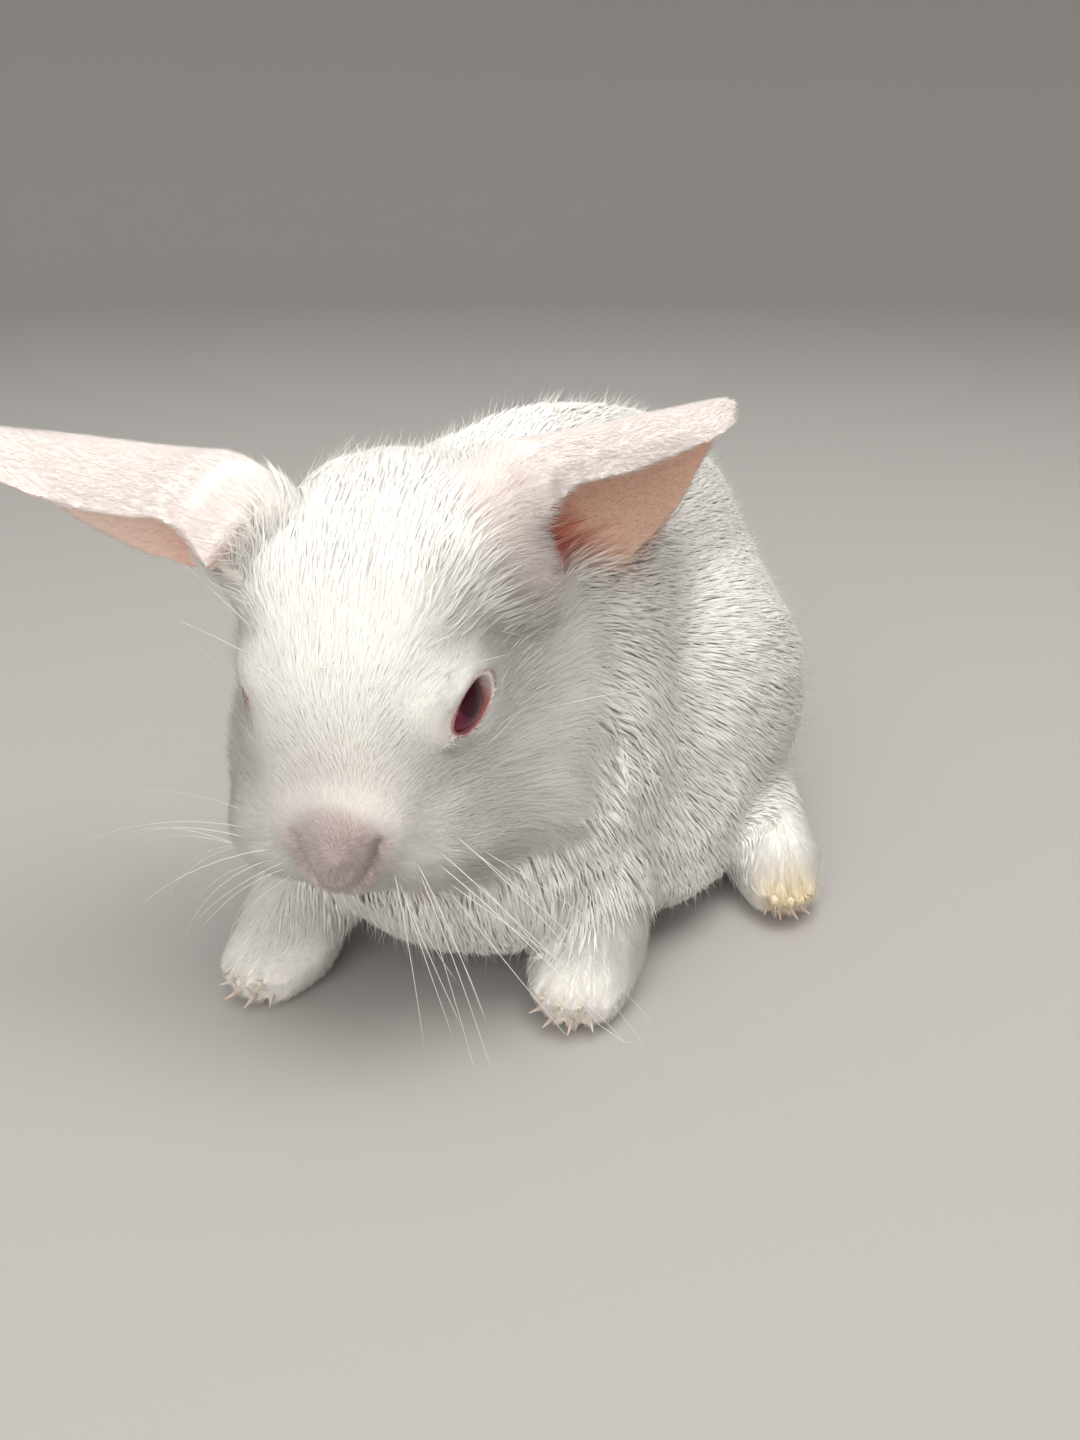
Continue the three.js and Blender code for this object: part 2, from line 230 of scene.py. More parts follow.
def turned(bm, outline, weld):
    """An outline turned once round the Z axis."""
    bmesh.ops.spin(
        bm, geom=outline, cent=(0, 0, 0), axis=(0, 0, 1), angle=2 * math.pi, steps=64,
        use_merge=True, use_duplicate=False,
    )
    bmesh.ops.remove_doubles(bm, verts=bm.verts, dist=weld)


def evened(values, edges, rounds, share=1.0):
    """Values at the vertices, each drawn to its neighbours' average, round after round."""
    count = len(values)
    values = values.astype(float).reshape(count, -1).copy()
    degree = np.maximum(np.bincount(edges.ravel(), minlength=count), 1)[:, None]
    share = np.broadcast_to(np.asarray(share, float).reshape(-1, 1), (count, 1))
    for _ in range(rounds):
        total = np.empty_like(values)
        for k in range(values.shape[1]):
            column = values[:, k]
            total[:, k] = np.bincount(edges[:, 0], column[edges[:, 1]], count)
            total[:, k] += np.bincount(edges[:, 1], column[edges[:, 0]], count)
        values += share * (total / degree - values)
    return values


# ---- the skin

def flesh_copy(grow):
    """Copies of the flesh's solids, merged and grown a little, as one heap of closed shells."""
    heap = bmesh.new()
    for name in FLESH:
        part = bmesh.new()
        part.from_mesh(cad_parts[name].data)
        bmesh.ops.remove_doubles(part, verts=part.verts, dist=WELD)
        part.normal_update()
        for vertex in part.verts:
            vertex.co += vertex.normal * grow
        heap.from_mesh(mesh_from(part, "flesh_" + name))
    for side in EYE_AT:
        bmesh.ops.create_icosphere(
            heap, subdivisions=4, radius=LID_RADIUS, matrix=Matrix.Translation(EYE_AT[side])
        )
    for ball in (*EAR_BULB, *EAR_PAD):
        bmesh.ops.create_icosphere(
            heap, subdivisions=4, radius=ball[3] * HEAD_SIZE,
            matrix=Matrix.Translation(from_head(ball[:3])),
        )
    return mesh_from(heap, "flesh")


def nearest_nodes(points):
    """For each point, how much it belongs to each of the flesh's solids: 1 for the nearest one."""
    corners, faces, owners = [], [], []
    for k, name in enumerate(FLESH):
        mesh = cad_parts[name].data
        start = len(corners)
        corners += [tuple(vertex.co) for vertex in mesh.vertices]
        for face in mesh.polygons:
            faces.append([start + i for i in face.vertices])
            owners.append(k)
    tree = BVHTree.FromPolygons(corners, faces)
    found = np.array([owners[tree.find_nearest(point)[2]] for point in points])
    return np.eye(len(FLESH))[found]


def on_bulb(points):
    """1 on the bulb at the left ear's base."""
    head = in_head(points)
    near = np.min([np.linalg.norm(head - ball[:3], axis=1) / ball[3] for ball in EAR_BULB], axis=0)
    return ease(near, 1.4, 1.05)


def belonging(points, edges):
    """How much each point belongs to each solid, by its name, blended across the seams."""
    shares = evened(nearest_nodes(points), edges, 12, 0.8)
    part = {name: shares[:, k] for k, name in enumerate(FLESH)}
    bulb = on_bulb(points) * part["head"]
    part["head"] = part["head"] - bulb
    part["ear_left"] = part["ear_left"] + bulb
    return part


def near_ear_root(points):
    """1 at the root of an ear, 0 a little way out along it."""
    out = [np.abs((points - root) @ run) / MM for root, run, _, _ in map(ear_frame, EARS)]
    return np.maximum(*[ease(run, 16, 3) for run in out])


def eye_distance(points):
    return np.minimum(*[np.linalg.norm(points - EYE_AT[side], axis=1) for side in EYE_AT]) / MM


def coat_depth(points, part):
    """How thick the coat lies over the skin, in millimetres."""
    head = in_head(points)
    from_nose = np.linalg.norm(head - NOSE, axis=1)
    face = 0.5 + 0.9 * ease(from_nose, 7, 16) + 1.2 * ease(from_nose, 16, 34)
    face += 1.2 * ease(head[:, 2], 6, -16) * ease(from_nose, 18, 36)
    body = 3.2 - 0.8 * ease(points[:, 2] / MM, 22, 6)
    feet = 1.3 - 0.7 * ease(points[:, 2] / MM, 3, 1)
    depth = face * part["head"] + 3.2 * part["neck"] + 3.2 * part["tail"]
    depth += body * (part["trunk"] + part["haunch_left"] + part["haunch_right"])
    shin = feet + 0.9 * ease(points[:, 2] / MM, 10, 22)
    depth += shin * (part["foreleg_left"] + part["foreleg_right"])
    depth += feet * (part["hind_foot_left"] + part["hind_foot_right"])
    depth += 0.5 * (part["ear_left"] + part["ear_right"]) + 0.7 * on_bulb(points) * part["ear_left"]
    return depth * (0.06 + 0.94 * ease(eye_distance(points), 7.8, 15))


# Creases of the muzzle, as runs of points in the head's own frame, with their width and depth there.
CREASES = [
    ([(7.2, -35.8, -2.6), (6.4, -38.0, -5.2), (4.2, -40.0, -8.2), (1.6, -41.2, -10.6)], 1.15, 1.5),
    ([(0, -41.5, -9.5), (0, -40.6, -13.0), (0, -38.2, -17.2)], 0.8, 1.4),
    ([(0, -38.2, -17.2), (4.5, -37.0, -19.3), (9.5, -32.5, -20.2)], 0.9, 1.6),
]


def crease_shares(head):
    """How deep each point of the head lies in a crease: 1 in its middle."""
    deepest = np.zeros(len(head))
    push = np.zeros(len(head))
    for run, width, depth in CREASES:
        for flip in (1, -1):
            line = np.array(run) * (flip, 1, 1)
            for a, b in zip(line, line[1:]):
                t = np.clip((head - a) @ (b - a) / ((b - a) @ (b - a)), 0, 1)
                gap = np.linalg.norm(head - (a + t[:, None] * (b - a)), axis=1)
                share = np.exp(-((gap / width) ** 2))
                deepest = np.maximum(deepest, share)
                push = np.maximum(push, share * depth)
    return deepest, push


def foot_middle(name):
    """The middle of a paw's fan of toes, on the floor."""
    foot = FEET[name]
    middle = (np.array(foot["paw"]) - SKULL_AT[:2]) * MM + HEAD_AT[:2]
    return middle - heading_of(foot["heading"])[:2] * foot["back"] * MM


def toe_tips(name, beyond):
    """Places beyond the last joints of a foot's toes, in millimetres, and the toes' headings."""
    foot, tips = FEET[name], []
    for share in (-0.5, -0.17, 0.17, 0.5):
        ahead = heading_of(foot["heading"] + share * foot["spread"])
        reach = TOE_REACH * (1 - 0.5 * share * share) + beyond
        tips.append(((*(foot_middle(name) + ahead[:2] * reach * MM), TOE_HEIGHT), ahead))
    return tips


def between_toes(points):
    """How deep each point lies in a fold between two toes: 1 in its middle."""
    deepest = np.zeros(len(points))
    for name, foot in FEET.items():
        out = (points[:, :2] - foot_middle(name)) / MM
        for share in (-0.33, 0, 0.33):
            ahead = heading_of(foot["heading"] + share * foot["spread"])
            along = out @ ahead[:2]
            across = out[:, 0] * ahead[1] - out[:, 1] * ahead[0]
            fold = np.exp(-((across / 0.9) ** 2)) * ease(along, 3, 7) * ease(along, 18, 15)
            deepest = np.maximum(deepest, fold * ease(points[:, 2] / MM, 11, 7))
    return deepest


def refined(mesh, wanted):
    """Faces whose middle is wanted are cut in four."""
    bm = bmesh.new()
    bm.from_mesh(mesh)
    middles = np.array([face.calc_center_median() for face in bm.faces])
    edges = set()
    for face, want in zip(bm.faces, wanted(middles)):
        if want:
            edges.update(face.edges)
    bmesh.ops.subdivide_edges(bm, edges=list(edges), cuts=1, use_grid_fill=True)
    bmesh.ops.triangulate(bm, faces=[face for face in bm.faces if len(face.verts) > 4])
    bm.to_mesh(mesh)
    bm.free()


def on_face(middles):
    head = in_head(middles)
    near_nose = np.linalg.norm(head - NOSE - (0, 1, -5), axis=1) < 15
    return near_nose | (eye_distance(middles) < 10)


def skin_ahead(mesh, points, ways, start, furthest, none):
    """How far each point is from more skin along its way, in millimetres, or none past furthest."""
    tree = BVHTree.FromPolygons([tuple(p) for p in points], [tuple(f.vertices) for f in mesh.polygons])
    found = np.full(len(points), none)
    for i, (point, way) in enumerate(zip(points, ways)):
        hit = tree.ray_cast(Vector(point + way * start), Vector(way), furthest)
        if hit[3] is not None:
            found[i] = hit[3] / MM
    return found


def wall_depth(mesh, points, normals):
    """How far it is through the flesh to its other side."""
    return skin_ahead(mesh, points, -normals, 2e-5, 20 * MM, THICK_WALL)


def room_over(mesh, points, normals):
    """How far it is from the skin outwards to more skin."""
    return skin_ahead(mesh, points, normals, 1e-4, 12 * MM, OPEN_AIR)


def eye_opening(side):
    """An oval bar from the middle of an eye outwards."""
    bm = bmesh.new()
    bmesh.ops.create_cone(
        bm, cap_ends=True, segments=48, radius1=1, radius2=1, depth=14 * MM,
        matrix=Matrix.Translation((0, 0, 7 * MM)),
    )
    bmesh.ops.scale(bm, vec=(*SLIT_SIZE, 1), verts=bm.verts)
    bmesh.ops.transform(bm, matrix=slit_frame(side), verts=bm.verts)
    bmesh.ops.recalc_face_normals(bm, faces=bm.faces)
    return new_object("eye_opening_" + side, mesh_from(bm, "eye_opening"))


def slit_frame(side):
    """The eye's own frame: Z out through its opening, X along the opening to its front corner."""
    out = Vector(on_side(SLIT[side], side))
    ahead = Vector(on_side(SLIT_ALONG, side))
    along = (ahead - out * ahead.dot(out)).normalized()
    across = out.cross(along)
    turn = Matrix((along, across, out)).transposed().to_4x4()
    return Matrix.Translation(EYE_AT[side]) @ turn


def lid_rim(side):
    """The bare rim of both lids: a thin ring that lies on the eye round the opening."""
    bm = bmesh.new()
    bmesh.ops.create_circle(
        bm, segments=8, radius=LID_RIM,
        matrix=Matrix.Translation((1, 0, 0)) @ Matrix.Rotation(math.pi / 2, 4, "X"),
    )
    turned(bm, list(bm.verts) + list(bm.edges), 1e-6)
    for vertex in bm.verts:
        run = math.hypot(vertex.co.x, vertex.co.y)
        out = run - 1
        turn = math.atan2(vertex.co.y, vertex.co.x)
        middle = Vector((math.cos(turn) * SLIT_SIZE[0], math.sin(turn) * SLIT_SIZE[1], 0))
        middle.z = math.sqrt((EYE_RADIUS + 0.15 * MM) ** 2 - middle.length_squared)
        away = Vector((math.cos(turn), math.sin(turn), -0.5)).normalized()
        outwards = middle.normalized()
        vertex.co = middle + away * out + outwards * vertex.co.z
    bmesh.ops.recalc_face_normals(bm, faces=bm.faces)
    bmesh.ops.transform(bm, matrix=slit_frame(side), verts=bm.verts)
    return mesh_from(bm, "lid_rim_" + side)


def one_body():
    """The flesh's solids closed up into one body, with finer faces on the face."""
    body = new_object("skin", flesh_copy(SEAM * MM))
    remesh = body.modifiers.new("one_body", "REMESH")
    remesh.mode = "VOXEL"
    remesh.voxel_size = SKIN_GRAIN * MM
    refined(finished(body), on_face)
    return body


def smoothed(points, edges, part):
    """The seams between the solids and the stubs of their claws evened out, and the whole a little."""
    thin = np.clip(part["ear_left"] + part["ear_right"], 0, 1)
    legs = sum(part[name] for name in FEET)
    meeting = ease((part["head"] + legs) * torso_of(part), 0.01, 0.12)
    seams = evened(np.maximum(meeting, on_bulb(points)), edges, 6)
    points = evened(points, edges, 24, 0.7 * seams)
    tips = [tip for name in FEET for tip, _ in toe_tips(name, 5)]
    gap = np.min([np.linalg.norm(points - tip, axis=1) for tip in tips], axis=0) / MM
    points = evened(points, edges, 80, 0.9 * ease(gap, 4.2, 3.0))
    for share in (0.6, -0.61) * 5:
        points = evened(points, edges, 1, share * (1 - 0.3 * thin))
    return points


def draw_in(mesh, points, edges, part):
    """The skin drawn in by the coat's depth, then creased at muzzle and toes and held off the floor."""
    move_to(mesh, points)
    normals = normals_of(mesh)
    depth = np.minimum(coat_depth(points, part), WALL_SHARE * wall_depth(mesh, points, normals))
    depth = evened(depth, edges, 3)[:, 0] + SEAM
    points = points - normals * depth[:, None] * MM
    for share in (0.5, -0.51) * 3:
        points = evened(points, edges, 1, share)
    move_to(mesh, points)
    inwards = crease_shares(in_head(points))[1] + 1.1 * between_toes(points)
    points = points - normals_of(mesh) * inwards[:, None] * MM
    points[:, 2] = np.maximum(points[:, 2], 0.5 * MM)
    move_to(mesh, points)


def open_eyes(body):
    """The eyes' openings cut into the skin, and the lids' rims joined to it."""
    for side in EYE_AT:
        cutter = eye_opening(side)
        cut = body.modifiers.new("opening", "BOOLEAN")
        cut.operation = "DIFFERENCE"
        cut.object = cutter
        cut.solver = "EXACT"
        finished(body)
        bpy.data.objects.remove(cutter)
    bm = bmesh.new()
    bm.from_mesh(body.data)
    for side in EYE_AT:
        bm.from_mesh(lid_rim(side))
    bmesh.ops.triangulate(bm, faces=bm.faces)
    bm.to_mesh(body.data)
    bm.free()


def shape_skin():
    """The skin: the flesh as one body, drawn in by the coat's depth, with creases and eye openings."""
    body = one_body()
    mesh = body.data
    edges, points = edges_of(mesh), places(mesh)
    part = belonging(points, edges)
    draw_in(mesh, smoothed(points, edges, part), edges, part)
    open_eyes(body)
    for face in body.data.polygons:
        face.use_smooth = True
    return body


# ---- colours of skin and coat, the same on both, with some painted shade and glow among them: linear colours

WHITE_COAT = (0.91, 0.895, 0.86)
WARM_SKIN = (0.93, 0.90, 0.86)
NOSE_MAUVE = (0.46, 0.32, 0.32)
LID_RED = (0.40, 0.13, 0.14)
LIP_RED_AND_SHADE = (0.42, 0.12, 0.10)
EAR_ROSE = (0.92, 0.79, 0.76)
# the ears' insides: pink to red skin, partly painted glow of light shining through the ear
EAR_INSIDE = (0.95, 0.62, 0.47)
EAR_HOLLOW = (0.80, 0.17, 0.10)
FOOT_STAIN_AND_SHADE = (0.80, 0.64, 0.34)


def mixed(base, colour, share):
    return base + (np.asarray(colour) - base) * np.clip(share, 0, 1)[:, None]


def nose_share(head):
    q = (head - (0, -37.6, -3.4)) / (7.6, 7.5, 7.6)
    return ease(np.linalg.norm(q, axis=1), 1.15, 0.75)


def ear_inside(points, normals, part):
    """Where the hollow side of an ear is: behind the flap, under the fold and before the rear wall."""
    shares = np.zeros(len(points))
    for side, ear in EARS.items():
        root, out, front, up = ear_frame(side)
        behind_root = (points - root) @ out / MM
        flap, wall = (math.radians(ear[name]) for name in ("flap", "wall"))
        below = unit(np.array([math.cos(wall) - math.cos(flap), math.sin(wall) - math.sin(flap)]))
        ahead, above = (points - root) @ front / MM, (points - root) @ up / MM
        behind = ease(above * below[0] - ahead * below[1], 3, -3)[:, None]
        inwards = (1 - behind) * (-math.sin(flap), math.cos(flap))
        inwards = inwards + behind * (-math.sin(wall), math.cos(wall))
        inwards = unit(inwards + below * (1 - np.abs(2 * behind - 1)))
        facing = (normals @ front) * inwards[:, 0] + (normals @ up) * inwards[:, 1]
        depth = ahead * below[0] + above * below[1]
        margin = ease(depth, 21.5, 23) * ease(behind_root, 22, 17)
        under = ease(depth, 2.5, 6) * ease(behind_root, 2, 7) * (1 - margin)
        shares += part["ear_" + side] * ease(facing, -0.05, 0.3) * under
    return shares


def lid_share(points):
    shares = np.zeros(len(points))
    for side in EYE_AT:
        frame_in = np.array(slit_frame(side).inverted())
        local = points @ frame_in[:3, :3].T + frame_in[:3, 3]
        oval = np.hypot(local[:, 0] / SLIT_SIZE[0], local[:, 1] / SLIT_SIZE[1])
        close = ease(np.linalg.norm(local, axis=1) / MM, 9.5, 8.2) * (local[:, 2] > 0)
        shares = np.maximum(shares, close * ease(oval, 1.13, 1.03))
    return shares


def markings_and_painted_light(points, normals, part, base):
    head = in_head(points)
    colour = np.tile(np.asarray(base, float), (len(points), 1))
    ears = part["ear_left"] + part["ear_right"]
    colour = mixed(colour, EAR_ROSE, 0.55 * ears)
    inside = ear_inside(points, normals, part) * (1 - on_bulb(points))
    # the insides of the ears: pink skin, redder towards the hollow, with painted glow of light through the
    # left ear
    for side in SIDES:
        tint_and_glow = inside * EAR_TINT_AND_GLOW[side] * (head[:, 0] * SIDES[side] > 0)
        hollow = np.linalg.norm(head * (SIDES[side], 1, 1) - EAR_HOLLOW_AT, axis=1)
        colour = mixed(colour, EAR_INSIDE, tint_and_glow)
        colour = mixed(colour, EAR_HOLLOW, tint_and_glow * ease(hollow, 15, 3))
    colour = mixed(colour, NOSE_MAUVE, 0.85 * nose_share(head))
    # a faint darker mauve halo over the bridge above the nose
    over_nose = ease(np.linalg.norm(head - (0, -34, 1), axis=1), 15, 6) * part["head"]
    colour = mixed(colour, NOSE_MAUVE, 0.14 * over_nose)
    # painted shade in the folds between the toes, with a yellowish stain
    colour = mixed(colour, FOOT_STAIN_AND_SHADE, 0.3 * between_toes(points))
    # the muzzle's creases: the red skin at mouth and nostrils, darkened with painted shade in the slits
    colour = mixed(colour, LIP_RED_AND_SHADE, 0.8 * crease_shares(head)[0] * part["head"])
    colour = mixed(colour, LID_RED, lid_share(points))
    # a yellowish stain on the left hind foot's heel
    heel = np.array(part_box("hind_foot_left")[1]) - (5 * MM, 0, 0)
    heel[1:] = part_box("hind_foot_left")[0][1] + 5 * MM, 7 * MM
    stain = np.linalg.norm((points - heel) / (10, 10, 8), axis=1) / MM
    colour = mixed(colour, FOOT_STAIN_AND_SHADE, 0.6 * ease(stain, 1.5, 0.2) * part["hind_foot_left"])
    return colour


def paint(mesh, colours):
    tint = mesh.attributes.new("tint", "FLOAT_COLOR", "POINT")
    tint.data.foreach_set("color", np.c_[colours, np.ones(len(colours))].astype(np.float32).ravel())


# ---- the lie of the coat

def lie(points, normals, part):
    """Which way the hair runs at each point of the skin."""
    head = in_head(points)
    back = np.tile([0.0, 1.0, -0.15], (len(points), 1))
    low = ease(points[:, 2] / MM, 85, 25)
    front = ease(points[:, 1] / MM, 10, -55)
    back[:, 2] -= 0.75 * low + 1.2 * low * front
    back[:, 1] -= 0.8 * low * front
    back[:, 0] += 0.25 * np.sign(points[:, 0]) * low
    away = unit(head - NOSE - (0, 3, -1)) @ HEAD_TURN.T
    way = away * part["head"][:, None] + unit(back) * torso_of(part)[:, None]
    way += np.array([0, 0.45, 1.0]) * part["tail"][:, None]
    for side in SIDES:
        way += ear_frame(side)[1] * part["ear_" + side][:, None] * 1.5
    for name, foot in FEET.items():
        down = ease(points[:, 2] / MM, 7, 17)[:, None]
        run = heading_of(foot["heading"]) * (1 - down) + np.array([0.0, -0.2, -1.0]) * down
        way += run * part[name][:, None]
    way -= normals * (way * normals).sum(1)[:, None]
    for side in EYE_AT:
        gap = points - EYE_AT[side]
        away = gap - normals * (gap * normals).sum(1)[:, None]
        away = unit(away)
        close = ease(np.linalg.norm(gap, axis=1) / MM, 14, 8) * (1.0 if side == "left" else 0.3)
        towards = np.minimum((unit(way) * away).sum(1), 0.1)
        way += away * (close * (0.25 - towards))[:, None]
    return unit(way)


def unwrapped(skin):
    """The skin's own unwrap, which the coat's tufts share."""
    skin.data.uv_layers.new(name="OFBake")
    bpy.context.view_layer.objects.active = skin
    skin.select_set(True)
    bpy.ops.object.mode_set(mode="EDIT")
    bpy.ops.mesh.select_all(action="SELECT")
    bpy.ops.uv.smart_project(angle_limit=math.radians(66), island_margin=0.002)
    bpy.ops.object.mode_set(mode="OBJECT")
    skin.select_set(False)
    flat = taken(skin.data.uv_layers["OFBake"].data, "uv", 2, np.float32)
    return flat.reshape(-1, 3, 2).astype(float)


class Hide:
    """The skin as arrays: where it is, how the hair lies on it, and what it belongs to."""

    def __init__(self, skin):
        mesh = skin.data
        self.unwrap = unwrapped(skin)
        self.points = places(mesh)
        self.normals = normals_of(mesh)
        self.edges = edges_of(mesh)
        self.faces = taken(mesh.loops, "vertex_index", 1, np.int32).reshape(-1, 3)
        self.part = belonging(self.points, self.edges)
        self.depth = coat_depth(self.points, self.part)
        self.way = lie(self.points, self.normals, self.part)
        sway = evened(rng.normal(size=(len(self.points), 1)), self.edges, 40)
        self.sway = (sway / sway.std())[:, 0]
        swell = evened(rng.normal(size=(len(self.points), 1)), self.edges, 25)
        self.swell = (swell / swell.std())[:, 0]
        self.lids = lid_share(self.points)
        self.room = evened(room_over(mesh, self.points, self.normals), self.edges, 2)[:, 0]
        self.depth = np.minimum(self.depth, ROOM_SHARE * self.room)
        self.inside = ear_inside(self.points, self.normals, self.part)
        self.tree = KDTree(len(self.points))
        for i, point in enumerate(self.points + self.normals * SIDE_GAP):
            self.tree.insert(point, i)
        self.tree.balance()

    def nearest(self, points, ups=0.0):
        """The nearest vertices. Those on the far side of a thin ear count as further off."""
        find = self.tree.find
        return np.array([find(point)[1] for point in points + ups * SIDE_GAP])

    def spot_on_unwrap(self, vertex):
        """Where a vertex lies on the unwrap, in one of its faces."""
        face, corner = np.argwhere(self.faces == vertex)[0]
        return self.unwrap[face, corner]

    def roots(self, count, density):
        """Places spread over the skin, more where the density at the vertices is higher."""
        a, b, c = (self.points[self.faces[:, k]] for k in range(3))
        area = np.linalg.norm(np.cross(b - a, c - a), axis=1) / 2
        weight = area * density[self.faces].mean(1)
        total = np.cumsum(weight)
        picks = np.searchsorted(total, (np.arange(count) + rng.random(count)) / count * total[-1])
        picks = np.minimum(picks, len(weight) - 1)
        u, v = rng.random(count), rng.random(count)
        over = u + v > 1
        u[over], v[over] = 1 - u[over], 1 - v[over]
        shares = np.c_[1 - u - v, u, v]
        return picks, shares

    def at(self, values, picks, shares):
        return np.einsum("ij,ij...->i...", shares, values[self.faces[picks]])


def spike_faces(levels):
    """The faces of one three-sided spike: its foot, its sides between the rings, and its point."""
    faces = [(0, 1, 2)]
    for level in range(levels - 1):
        for k in range(3):
            a, b = 3 * level + k, 3 * level + (k + 1) % 3
            faces += [(a, b + 3, b), (a, a + 3, b + 3)]
    last, tip = 3 * (levels - 1), 3 * levels
    faces += [(last + k, tip, last + (k + 1) % 3) for k in range(3)]
    return np.array(faces)


def mesh_of(name, points, index):
    """A smooth mesh of triangles from arrays."""
    mesh = bpy.data.meshes.new(name)
    mesh.vertices.add(len(points))
    mesh.loops.add(index.size)
    mesh.polygons.add(len(index))
    mesh.vertices.foreach_set("co", points.astype(np.float32).ravel())
    mesh.loops.foreach_set("vertex_index", index.astype(np.int32).ravel())
    mesh.polygons.foreach_set("loop_start", np.arange(0, index.size, 3, dtype=np.int32))
    mesh.polygons.foreach_set("use_smooth", np.ones(len(index), bool))
    mesh.update(calc_edges=True)
    return mesh


def lay_on_unwrap(mesh, index, levels, uv):
    """Each spike as a small patch at its root's place on the skin's unwrap."""
    rows = np.meshgrid(np.linspace(-1, 0.6, levels), [-1, 0, 1], indexing="ij")
    spot = np.concatenate([np.stack(rows, -1).reshape(-1, 2), [[1, 0]]])
    patch = (uv[:, None] + spot[None] * UV_PATCH).reshape(-1, 2)
    layer = mesh.uv_layers.new(name="OFBake")
    layer.data.foreach_set("uv", patch[index.ravel()].astype(np.float32).ravel())


def soften(mesh, faces, out, up, soft):
    """The upper sides shaded nearly as the skin under them is, the undersides turned away from it."""
    leaning = unit((1 - soft) * out + soft * up)[:, faces]
    under = np.all(np.isin(faces % 3, (1, 2)) | (faces == faces.max()), axis=1)
    under[0] = False
    leaning[:, under] = unit(out[:, faces[under]] - 0.8 * up[:, faces[under]])
    mesh.normals_split_custom_set(leaning.reshape(-1, 3))


def tufts_mesh(name, rings, tips, ups, widths, uv, colours, flat=0.6, soft=0.0):
    """Closed three-sided spikes through rings of centres, as one mesh. Ups are the skin's directions at the
    rings and the tip."""
    count, levels = rings.shape[:2]
    path = np.concatenate([rings, tips[:, None]], 1)
    ahead = unit(np.gradient(path, axis=1))[:, :levels]
    across = unit(np.cross(ahead, ups[:, :1]))
    above = np.cross(across, ahead)
    turn = np.radians([90, 210, 330])
    corner = (
        across[:, :, None] * np.cos(turn)[None, None, :, None]
        + above[:, :, None] * np.sin(turn)[None, None, :, None] * flat
    )
    shell = rings[:, :, None] + corner * (widths / 2)[:, :, None, None]
    each = 3 * levels + 1
    points = np.concatenate([shell.reshape(count, -1, 3), tips[:, None]], 1).reshape(-1, 3)
    faces = spike_faces(levels)
    index = (np.arange(count)[:, None, None] * each + faces[None]).reshape(-1, 3)
    mesh = mesh_of(name, points, index)
    lay_on_unwrap(mesh, index, levels, uv)
    # each hair darker at its root than at its tip: painted shade deep in the coat
    along = np.concatenate([np.repeat(np.linspace(0, 0.8, levels), 3), [1.0]])
    shade = colours[:, None] * (0.90 + 0.10 * along)[None, :, None]
    paint(mesh, shade.reshape(-1, 3))
    if soft:
        out = np.concatenate([corner.reshape(count, -1, 3), ahead[:, -1:]], 1)
        up = np.concatenate([np.repeat(ups[:, :levels], 3, axis=1), ups[:, levels:]], 1)
        soften(mesh, faces, out, up, soft)
    return mesh


def lay_hairs(hide, picks, shares, sizes, rings, stray):
    """Each hair's path, the skin's directions along it, and its width. Sizes are length, width and lift."""
    count = len(picks)
    root = hide.at(hide.points, picks, shares)
    normal = unit(hide.at(hide.normals, picks, shares))
    way, sway, swell = (hide.at(values, picks, shares) for values in (hide.way, hide.sway, hide.swell))
    length, width, rise = (hide.at(values, picks, shares) for values in sizes)
    size = length * (1 + 0.1 * swell) * rng.uniform(0.75, 1.12, count) * MM
    wide = width * rng.uniform(0.7, 1.2, count) * MM
    depth = hide.at(hide.depth, picks, shares) * MM
    # lie a little to one side or the other
    turn = np.radians(9 * sway + rng.normal(0, stray, count))
    side = np.cross(normal, way)
    way = unit(way * np.cos(turn)[:, None] + side * np.sin(turn)[:, None])
    height = depth * (1 + 0.08 * swell) * rng.uniform(0.75, 1.12, count) + 0.12 * MM
    height = np.minimum(height, 0.8 * size)
    path, ups = [root], [normal]
    here, heading, up = root, way, normal
    for step in range(rings):
        here = here + heading * (size / rings)[:, None]
        close = hide.nearest(here, up)
        up = hide.normals[close]
        gap = ((here - hide.points[close]) * up).sum(1)
        here = here - up * gap[:, None]
        heading = unit(heading + 0.8 * hide.way[close])
        heading = unit(heading - up * (heading * up).sum(1)[:, None])
        path.append(here + up * (height * (rise if step == rings - 1 else 0.75))[:, None])
        ups.append(up)
    path, ups = np.stack(path, 1), np.stack(ups, 1)
    # hair that would reach round a fold is shorter
    folded = ease((ups[:, -1] * normal).sum(1), 0.75, 0.1)
    path[:, 1:] -= 0.6 * folded[:, None, None] * (path[:, 1:] - path[:, :1])
    return path, ups, wide


def gathered(path, normal, lock):
    """The hairs drawn to the nearest lock's middle hair."""
    count, points = path.shape[:2]
    leaders = rng.permutation(count)[: max(1, int(count / lock[0]))]
    tree = KDTree(len(leaders))
    for i, k in enumerate(leaders):
        tree.insert(path[k, 0], i)
    tree.balance()
    lead = leaders[np.array([tree.find(point)[1] for point in path[:, 0]])]
    same = (normal * normal[lead]).sum(1) > 0.4
    hold = lock[1] * rng.uniform(0.4, 1.0, count) * same
    pull = np.linspace(0, 1, points)[None, :, None] * hold[:, None, None]
    return path + pull * (path[lead] - path)


def coat_colours(hide, picks, shares, root, normal):
    """The skin's colours at the roots, with their painted shade and glow, a little lighter or darker from
    hair to hair, and frosted on the nose.
    """
    part = {name: hide.at(values, picks, shares) for name, values in hide.part.items()}
    swell = hide.at(hide.swell, picks, shares)
    colours = markings_and_painted_light(root, normal, part, WHITE_COAT)
    frost = 0.8 * nose_share(in_head(root)) * rng.random(len(root))
    colours = mixed(colours, WHITE_COAT, frost)
    colours = colours * rng.uniform(0.93, 1.04, len(root))[:, None] * (1 + 0.015 * swell)[:, None]
    return np.clip(colours, 0, 0.96)


